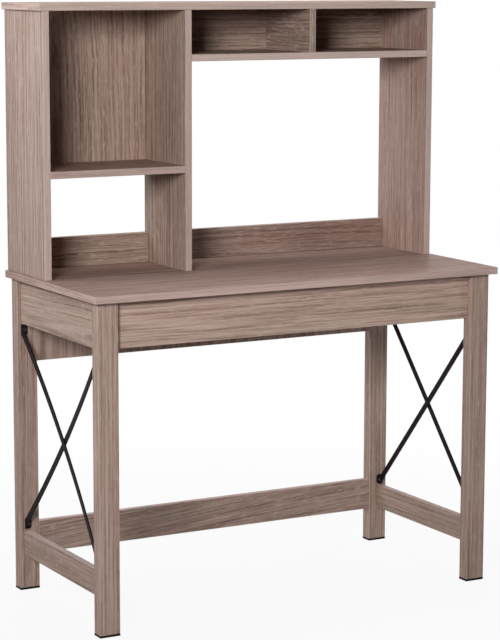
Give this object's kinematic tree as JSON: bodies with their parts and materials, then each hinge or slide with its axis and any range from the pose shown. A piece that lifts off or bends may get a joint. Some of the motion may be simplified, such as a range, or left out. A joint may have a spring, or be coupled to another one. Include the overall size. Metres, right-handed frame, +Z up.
{
  "type": "student desk with hutch",
  "caption": "Student writing desk with an open hutch: board top on square legs joined by aprons and low rails, crossed steel braces at the sides, and cubbies round an open bay.",
  "frame": {"origin": "on the floor, under the middle of the desktop", "axes": "+X to the right of someone seated at the desk, +Y to the back, +Z up"},
  "size_m": [1.03, 0.488, 1.358],
  "materials": {
    "oak_board": "grey-brown oak-grain melamine, satin",
    "back_board": "thin board with the same grain",
    "dowel": "raw beech",
    "black_steel": "black powder coat",
    "screw": "black oxide",
    "zinc": "zinc alloy",
    "cam_cover": "grey-brown plastic",
    "black_plastic": "moulded black plastic"
  },
  "bodies": {
    "root": {"brace_screws": "screw", "cubby_back_panel": "back_board", "cubby_divider": "oak_board", "desk_top": "oak_board", "frame_cam_bolts": "zinc", "frame_cam_covers": "cam_cover", "frame_cam_locks": "zinc", "frame_dowels": "dowel", "front_apron": "oak_board", "front_left_foot": "black_plastic", "front_left_leg": "oak_board", "front_right_foot": "black_plastic", "front_right_leg": "oak_board", "hutch_cam_bolts": "zinc", "hutch_cam_covers": "cam_cover", "hutch_cam_locks": "zinc", "hutch_divider": "oak_board", "hutch_dowels": "dowel", "hutch_left_side": "oak_board", "hutch_right_side": "oak_board", "hutch_screws": "screw", "hutch_top": "oak_board", "left_back_panel": "back_board", "left_back_rail": "oak_board", "left_inner_brace": "black_steel", "left_lower_rail": "oak_board", "left_outer_brace": "black_steel", "left_shelf": "oak_board", "left_side_apron": "oak_board", "long_shelf": "oak_board", "rear_apron": "oak_board", "rear_left_foot": "black_plastic", "rear_left_leg": "oak_board", "rear_lower_rail": "oak_board", "rear_right_foot": "black_plastic", "rear_right_leg": "oak_board", "right_back_rail": "oak_board", "right_inner_brace": "black_steel", "right_lower_rail": "oak_board", "right_outer_brace": "black_steel", "right_side_apron": "oak_board"}
  },
  "joints": []
}
